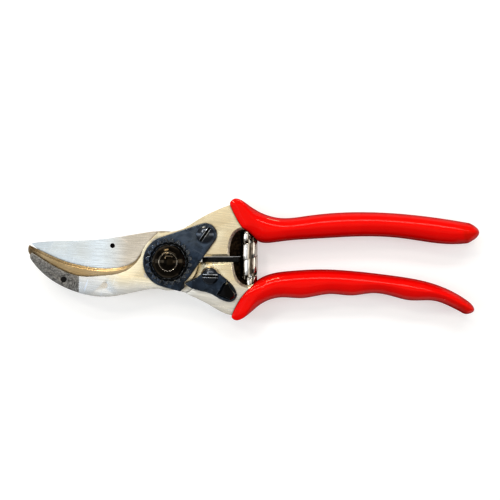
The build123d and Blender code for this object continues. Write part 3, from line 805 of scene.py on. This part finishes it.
def soft_edged(node, name, width, segments=3, angle=32):
    """A detailed piece in place of a CAD node: the same shape with its edges broken."""
    mesh = welded(node)
    sharp = [e for e in mesh.edges if len(e.link_faces) == 2
             and e.calc_face_angle(0) > math.radians(angle)]
    bmesh.ops.bevel(mesh, geom=sharp, offset=width, offset_type="OFFSET", segments=segments,
                    profile=0.5, affect="EDGES", clamp_overlap=True)
    data = bpy.data.meshes.new(name)
    mesh.to_mesh(data)
    mesh.free()
    shade(data)
    return add_piece(name, data, node, BODY_OF[node])


def plan_outline(node, height):
    """The longest closed outline of a CAD node at one height, as ordered (x, y) points."""
    mesh = welded(node)
    geometry = mesh.verts[:] + mesh.edges[:] + mesh.faces[:]
    cut = bmesh.ops.bisect_plane(mesh, geom=geometry, plane_co=(0, 0, height),
                                 plane_no=(0, 0, 1))["geom_cut"]
    edges = {e for e in cut if isinstance(e, bmesh.types.BMEdge)}
    loops = []
    while edges:
        edge = edges.pop()
        start, here = edge.verts
        loop = [start]
        while here is not start:
            loop.append(here)
            following = [e for e in here.link_edges if e in edges]
            if not following:
                break
            edges.remove(following[0])
            here = following[0].other_vert(here)
        loops.append(np.array([v.co[:2] for v in loop]))
    mesh.free()
    return max(loops, key=lambda p: np.abs(np.diff(p, axis=0)).sum())


def outline_distance(points, outline):
    """Signed distance of (x, y) points to a closed outline, and its direction; inside is < 0."""
    a, b = outline, np.roll(outline, -1, axis=0)
    run = b - a
    best = np.full(len(points), 1e9)
    nearest = np.zeros_like(points)
    inside = np.zeros(len(points), bool)
    for (ax, ay), (_, by), (dx, dy) in zip(a, b, run):
        rel = points - (ax, ay)
        t = np.clip((rel[:, 0] * dx + rel[:, 1] * dy) / max(dx * dx + dy * dy, 1e-18), 0, 1)
        foot = np.stack((ax + t * dx, ay + t * dy), axis=1)
        gap = np.hypot(*(points - foot).T)
        closer = gap < best
        best[closer] = gap[closer]
        nearest[closer] = foot[closer]
        crosses = (ay > points[:, 1]) != (by > points[:, 1])
        if dy:
            inside ^= crosses & (points[:, 0] < ax + (points[:, 1] - ay) * dx / dy)
    sign = np.where(inside, -1.0, 1.0)
    away = (points - nearest) * sign[:, None]
    return best * sign, away / np.maximum(np.hypot(*away.T), 1e-9)[:, None]


# ---------------------------------------------------------------- grips
def prism(outline, low, high):
    mesh = bmesh.new()
    ring = [mesh.verts.new((x, y, low)) for x, y in outline]
    base = mesh.faces.new(ring)
    top = bmesh.ops.extrude_face_region(mesh, geom=[base])["geom"]
    bmesh.ops.translate(mesh, vec=(0, 0, high - low),
                        verts=[v for v in top if isinstance(v, bmesh.types.BMVert)])
    bmesh.ops.recalc_face_normals(mesh, faces=mesh.faces)
    data = bpy.data.meshes.new("grip_blank")
    mesh.to_mesh(data)
    mesh.free()
    return data


SPRING_ROOM_R = 4.7 * MM


def spring_room():
    """A round bar through both grips that leaves the spring its pocket."""
    low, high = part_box("return_spring")
    centre = (low + high) / 2
    bar = bmesh.new()
    made = bmesh.ops.create_cone(bar, cap_ends=True, segments=64, radius1=SPRING_ROOM_R,
                                 radius2=SPRING_ROOM_R, depth=high.y - low.y)
    turn = Vector((0, 0, 1)).rotation_difference(Vector((0, 1, 0))).to_matrix().to_4x4()
    bmesh.ops.transform(bar, matrix=turn, verts=made["verts"])
    bmesh.ops.translate(bar, vec=centre, verts=bar.verts)
    data = bpy.data.meshes.new("spring_room")
    bar.to_mesh(data)
    bar.free()
    return data


def remeshed(data, voxel):
    """The mesh with the spring's pocket cut out, in even cells."""
    blank = bpy.data.objects.new("grip_blank", data)
    room = bpy.data.objects.new("spring_room", spring_room())
    for item in (blank, room):
        bpy.context.scene.collection.objects.link(item)
    cut = blank.modifiers.new("pocket", "BOOLEAN")
    cut.object = room
    cut.solver = "EXACT"
    even = blank.modifiers.new("cells", "REMESH")
    even.mode = "VOXEL"
    even.voxel_size = voxel
    result = bpy.data.meshes.new_from_object(
        blank.evaluated_get(bpy.context.evaluated_depsgraph_get()))
    for item in (blank, room):
        bpy.data.objects.remove(item)
    return result


def ease(value, start, stop):
    t = np.clip((value - start) / (stop - start), 0, 1)
    return t * t * (3 - 2 * t)


MOUTH_REACH = (4 * MM, 15 * MM)   # the grip's rounding grows over this distance from its mouth
RIM_HEIGHT = 1.4 * MM             # just above the CAD rim, where the grip's outline is whole
PROJECTIONS = 6                   # passes that pull the blank in to its rounded form
SMOOTHINGS = 3
SMOOTH_SHARE = 0.4
MOUTH_RAMP = (2.3 * MM, 0.75 * MM)  # the grip's faces slope down to its mouth: width and depth


def make_grip(node, name, sizes):
    """A dipped grip, rounded along its reach, slope-lipped where the metal comes out."""
    low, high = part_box(node)
    outline = plan_outline(node, low.z + RIM_HEIGHT)
    mesh = remeshed(prism(outline, low.z, high.z), sizes.grip_voxel)
    count = len(mesh.vertices)
    points = np.empty(count * 3, np.float32)
    mesh.vertices.foreach_get("co", points)
    points = points.reshape(-1, 3).astype(float)
    middle, half = (low.z + high.z) / 2, (high.z - low.z) / 2
    for _ in range(PROJECTIONS):
        gap, away = outline_distance(points[:, :2], outline)
        radius = sizes.mouth_round + (sizes.grip_round - sizes.mouth_round) * ease(
            points[:, 0] - low.x, *MOUTH_REACH)
        side = np.maximum(gap + radius, 0)
        face = np.maximum(np.abs(points[:, 2] - middle) - half + radius, 0)
        reach = np.maximum(np.hypot(side, face), 1e-9)
        out = np.maximum(reach - radius, 0)
        step = out / reach
        points[:, :2] -= away * (side * step)[:, None]
        points[:, 2] -= np.sign(points[:, 2] - middle) * face * step
    gap = outline_distance(points[:, :2], outline)[0]
    width, depth = MOUTH_RAMP
    depth = depth * (1 - ease(points[:, 0] - low.x, *MOUTH_REACH))
    ceiling = half - depth * np.clip(1 + gap / width, 0, 1)
    points[:, 2] = middle + np.clip(points[:, 2] - middle, -ceiling, ceiling)
    mesh.vertices.foreach_set("co", points.astype(np.float32).ravel())
    work = bmesh.new()
    work.from_mesh(mesh)
    for _ in range(SMOOTHINGS):
        bmesh.ops.smooth_vert(work, verts=work.verts, factor=SMOOTH_SHARE,
                              use_axis_x=True, use_axis_y=True, use_axis_z=True)
    work.to_mesh(mesh)
    work.free()
    mesh.name = name
    shade(mesh, 60)
    return add_piece(name, mesh, node, BODY_OF[node])


# ---------------------------------------------------------------- spring
STEPS_PER_TURN = 64
# Share of the spring's height from the top, and the strip's outer radius there.
COIL_PROFILE = ((0.0, 2.8), (0.06, 3.9), (0.32, 4.15), (0.38, 4.3), (0.64, 4.3), (0.70, 4.1),
                (0.94, 3.95), (1.0, 2.8))
STRIP_LAP = 0.985               # strip width over the pitch of the turns
STRIP_START = 0.4               # radians round the spring where the strip's top end lies
STRIP_END = 0.35 * MM           # half width of the strip's cut ends
# The strip's section: share of its thickness inwards, and share of its half width from the middle.
STRIP_SECTION = ((0.16, 1.0), (0.0, 0.93), (0.0, -0.93), (0.16, -1.0), (1.0, -1.0), (1.0, 1.0))


def coil_radius(share):
    """Outer radius of the volute at a share of its height, in metres."""
    places, radii = zip(*COIL_PROFILE)
    return float(np.interp(share, places, radii)) * MM


def make_spring(sizes):
    """Volute of flat strip, whose turns widen to the middle and shrink again."""
    low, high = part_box("return_spring")
    centre_x, centre_z = (low.x + high.x) / 2, (low.z + high.z) / 2
    height = high.y - low.y
    width, thick = STRIP_LAP * height / sizes.spring_turns, sizes.strip_thickness
    count = int(sizes.spring_turns * STEPS_PER_TURN)
    mesh = bmesh.new()
    rings, shares = [], []
    for i in range(count + 1):
        t = i / count
        angle = 2 * math.pi * sizes.spring_turns * t + STRIP_START
        middle = high.y - t * height
        reach = min(width / 2, STRIP_END + min(t, 1 - t) * height * 0.98)
        radius = coil_radius(t)
        ring = []
        for inset, side in STRIP_SECTION:
            r = radius - inset * thick
            place = middle + side * reach
            ring.append(mesh.verts.new((centre_x + r * math.cos(angle), place,
                                        centre_z + r * math.sin(angle))))
            shares.append((high.y - place) / height)
        rings.append(ring)
    for before, after in zip(rings, rings[1:]):
        for k in range(len(before)):
            mesh.faces.new((before[k], before[k - 1], after[k - 1], after[k]))
    mesh.faces.new(rings[0])
    mesh.faces.new(reversed(rings[-1]))
    bmesh.ops.recalc_face_normals(mesh, faces=mesh.faces)
    data = bpy.data.meshes.new("volute_spring")
    mesh.to_mesh(data)
    mesh.free()
    shade(data, 30)
    piece = add_piece("volute_spring", data, "return_spring")
    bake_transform(piece, "anvil_side", "blade_side", start=(centre_x, high.y, centre_z),
             end=(centre_x, low.y, centre_z))
    data.attributes["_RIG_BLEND"].data.foreach_set("value", np.array(shares, np.float32))
    return piece


# ---------------------------------------------------------------- operators
class SHEARS_OT_finishes(bpy.types.Operator):
    """Make the materials and put them on the CAD parts"""
    bl_idname = "shears.finishes"
    bl_label = "Finishes"

    def execute(self, context):
        make_finishes(context.scene.shears_colours)
        for name, node in frame["nodes"].items():
            node.data.materials.clear()
            node.data.materials.append(FINISHES[SLOT_OF[name]])
            shade(node.data)
        return {"FINISHED"}


class SHEARS_OT_forgings(bpy.types.Operator):
    """Make both aluminium forgings with softened edges"""
    bl_idname = "shears.forgings"
    bl_label = "Forgings"

    def execute(self, context):
        width = context.scene.shears_sizes.edge_break
        soft_edged("anvil_handle", "upper_forging", width)
        soft_edged("blade_handle", "lower_forging", width)
        return {"FINISHED"}


class SHEARS_OT_steel(bpy.types.Operator):
    """Make the stamped, ground and turned steel parts with broken edges"""
    bl_idname = "shears.steel"
    bl_label = "Steel Parts"

    def execute(self, context):
        width = context.scene.shears_sizes.plate_break
        for node, name in (("anvil_blade", "hook_lining"), ("locking_plate", "lock_plate"),
                           ("locking_plate_screw", "lock_plate_screw"), ("toothed_nut", "hub_nut"),
                           ("centre_bolt", "pivot_bolt"), ("thumb_catch", "catch_leaf"),
                           ("catch_screw", "catch_pivot_screw")):
            soft_edged(node, name, width)
        return {"FINISHED"}


STOP_ROOT_X = 15.6 * MM           # the rubber stop's stem reaches back to the hub
STOP_END = 0.6 * MM               # the end of the stem that is moved there


class SHEARS_OT_stop(bpy.types.Operator):
    """Make the rubber stop between the arms"""
    bl_idname = "shears.stop"
    bl_label = "Rubber Stop"

    def execute(self, context):
        stop = soft_edged("cushion", "rubber_stop", context.scene.shears_sizes.plate_break)
        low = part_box("cushion")[0].x
        for vertex in stop.data.vertices:
            if vertex.co.x < low + STOP_END:
                vertex.co.x += STOP_ROOT_X - low
        return {"FINISHED"}


class SHEARS_OT_grips(bpy.types.Operator):
    """Make the two dipped grips"""
    bl_idname = "shears.grips"
    bl_label = "Grips"

    def execute(self, context):
        sizes = context.scene.shears_sizes
        make_grip("upper_grip", "upper_dipped_grip", sizes)
        make_grip("lower_grip", "lower_dipped_grip", sizes)
        return {"FINISHED"}


class SHEARS_OT_spring(bpy.types.Operator):
    """Wind the volute spring between the two arms"""
    bl_idname = "shears.spring"
    bl_label = "Spring"

    def execute(self, context):
        make_spring(context.scene.shears_sizes)
        return {"FINISHED"}


def soft_light(name, place, target, size, power, colour):
    lamp = bpy.data.lights.new(name, "AREA")
    lamp.shape = "RECTANGLE"
    lamp.size, lamp.size_y = size
    lamp.energy = power
    lamp.color = colour
    item = bpy.data.objects.new(name, lamp)
    item.location = place
    item.rotation_euler = (Vector(target) - Vector(place)).to_track_quat("-Z", "Y").to_euler()
    bpy.context.scene.collection.objects.link(item)


WORLD_LIGHT = 0.30
WORLD_COLOUR = (0.95, 0.97, 1.0, 1.0)
FLOOR_HALF = 3.0                # half of the floor's side, in metres
FLOOR_DROP = 0.05 * MM          # below the shears
FLOOR_GLOW = 0.42               # the floor is lit from behind like a light table
SOFT_BOXES = (                  # name, place, size, radiance, colour
    ("cool_box", (-0.46, 0.0, 0.90), (0.48, 0.90), 0.50, (0.76, 0.87, 1.0)),
    ("warm_box", (0.22, 0.0, 0.90), (0.80, 0.90), 0.42, (1.0, 0.86, 0.64)),
    ("left_box", (-0.95, 0.05, 0.60), (0.35, 1.0), 2.8, (0.90, 0.95, 1.0)),
    ("right_box", (0.98, 0.05, 0.60), (0.35, 1.0), 2.4, (1.0, 0.96, 0.90)),
    ("back_strip", (0.05, 0.74, 0.76), (1.10, 0.16), 7.5, (1.0, 0.98, 0.95)),
    ("low_box", (-0.18, 0.80, 0.26), (0.26, 0.16), 16.0, (1.0, 0.86, 0.62)),
    ("key_box", (-0.34, 0.42, 0.70), (0.13, 0.13), 22.0, (1.0, 0.95, 0.86)),
)
VIEW_EXPOSURE = -0.12
VIEW_MARGIN = 1.0985            # width of the view over the length of the shears
CAMERA_HEIGHT = 0.40            # above the front faces
CAMERA_ALONG = 0.4917           # camera's place over the shears, as shares of their length
CAMERA_ACROSS = 0.577           # and of their width
SENSOR = 36.0


class SHEARS_OT_stage(bpy.types.Operator):
    """Lay out the floor, the soft lights and the camera"""
    bl_idname = "shears.stage"
    bl_label = "Stage"

    def execute(self, context):
        low, high = CAD_BOX
        centre = (low + high) / 2
        colours = context.scene.shears_colours
        sheet = bmesh.new()
        bmesh.ops.create_grid(sheet, x_segments=1, y_segments=1, size=FLOOR_HALF)
        data = bpy.data.meshes.new("floor")
        sheet.to_mesh(data)
        sheet.free()
        floor = bpy.data.objects.new("floor", data)
        floor.location = (centre.x, centre.y, low.z - FLOOR_DROP)
        context.scene.collection.objects.link(floor)
        material, _, shader = new_material("pale_floor")
        set_shader(shader, Roughness=0.9, Emission_Strength=FLOOR_GLOW)
        shader.inputs["Base Color"].default_value = (*colours.floor, 1.0)
        shader.inputs["Emission Color"].default_value = (1.0, 1.0, 1.0, 1.0)
        data.materials.append(material)

        world = bpy.data.worlds.new("studio")
        context.scene.world = world
        world.use_nodes = True
        background = world.node_tree.nodes["Background"]
        background.inputs["Color"].default_value = WORLD_COLOUR
        background.inputs["Strength"].default_value = WORLD_LIGHT
        for name, place, size, radiance, colour in SOFT_BOXES:
            soft_light(name, place, centre, size, radiance * math.pi * size[0] * size[1], colour)

        lens = bpy.data.cameras.new("camera")
        span = (high.x - low.x) * VIEW_MARGIN
        lens.sensor_width = SENSOR
        lens.lens = SENSOR * CAMERA_HEIGHT / span
        camera = bpy.data.objects.new("camera", lens)
        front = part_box("anvil_handle")[1].z
        camera.location = (low.x + CAMERA_ALONG * (high.x - low.x),
                           low.y + CAMERA_ACROSS * (high.y - low.y), front + CAMERA_HEIGHT)
        context.scene.collection.objects.link(camera)
        context.scene.camera = camera
        context.scene.view_settings.view_transform = "Standard"
        context.scene.view_settings.look = "Medium High Contrast"
        context.scene.view_settings.exposure = VIEW_EXPOSURE
        return {"FINISHED"}


class SHEARS_PT_panel(bpy.types.Panel):
    bl_label = "Pruning Shears"
    bl_space_type = "VIEW_3D"
    bl_region_type = "UI"
    bl_category = "Shears"

    def draw(self, context):
        for group in (context.scene.shears_sizes, context.scene.shears_colours):
            box = self.layout.box()
            for name in group.__annotations__:
                box.prop(group, name)
        for operator in OPERATORS:
            self.layout.operator(operator.bl_idname)


OPERATORS = (SHEARS_OT_finishes, SHEARS_OT_forgings, SHEARS_OT_steel, SHEARS_OT_stop,
             SHEARS_OT_grips, SHEARS_OT_spring, SHEARS_OT_stage)
CLASSES = (ShearsSizes, ShearsColours, *OPERATORS, SHEARS_PT_panel)


def register():
    for item in CLASSES:
        bpy.utils.register_class(item)
    bpy.types.Scene.shears_sizes = bpy.props.PointerProperty(type=ShearsSizes)
    bpy.types.Scene.shears_colours = bpy.props.PointerProperty(type=ShearsColours)


def unregister():
    del bpy.types.Scene.shears_colours
    del bpy.types.Scene.shears_sizes
    for item in reversed(CLASSES):
        bpy.utils.unregister_class(item)


def main():
    register()
    bpy.ops.shears.finishes()
    bpy.ops.shears.forgings()
    bpy.ops.shears.steel()
    bpy.ops.shears.stop()
    bpy.ops.shears.grips()
    bpy.ops.shears.spring()
    bpy.ops.shears.stage()


if __name__ == "__main__":
    main()
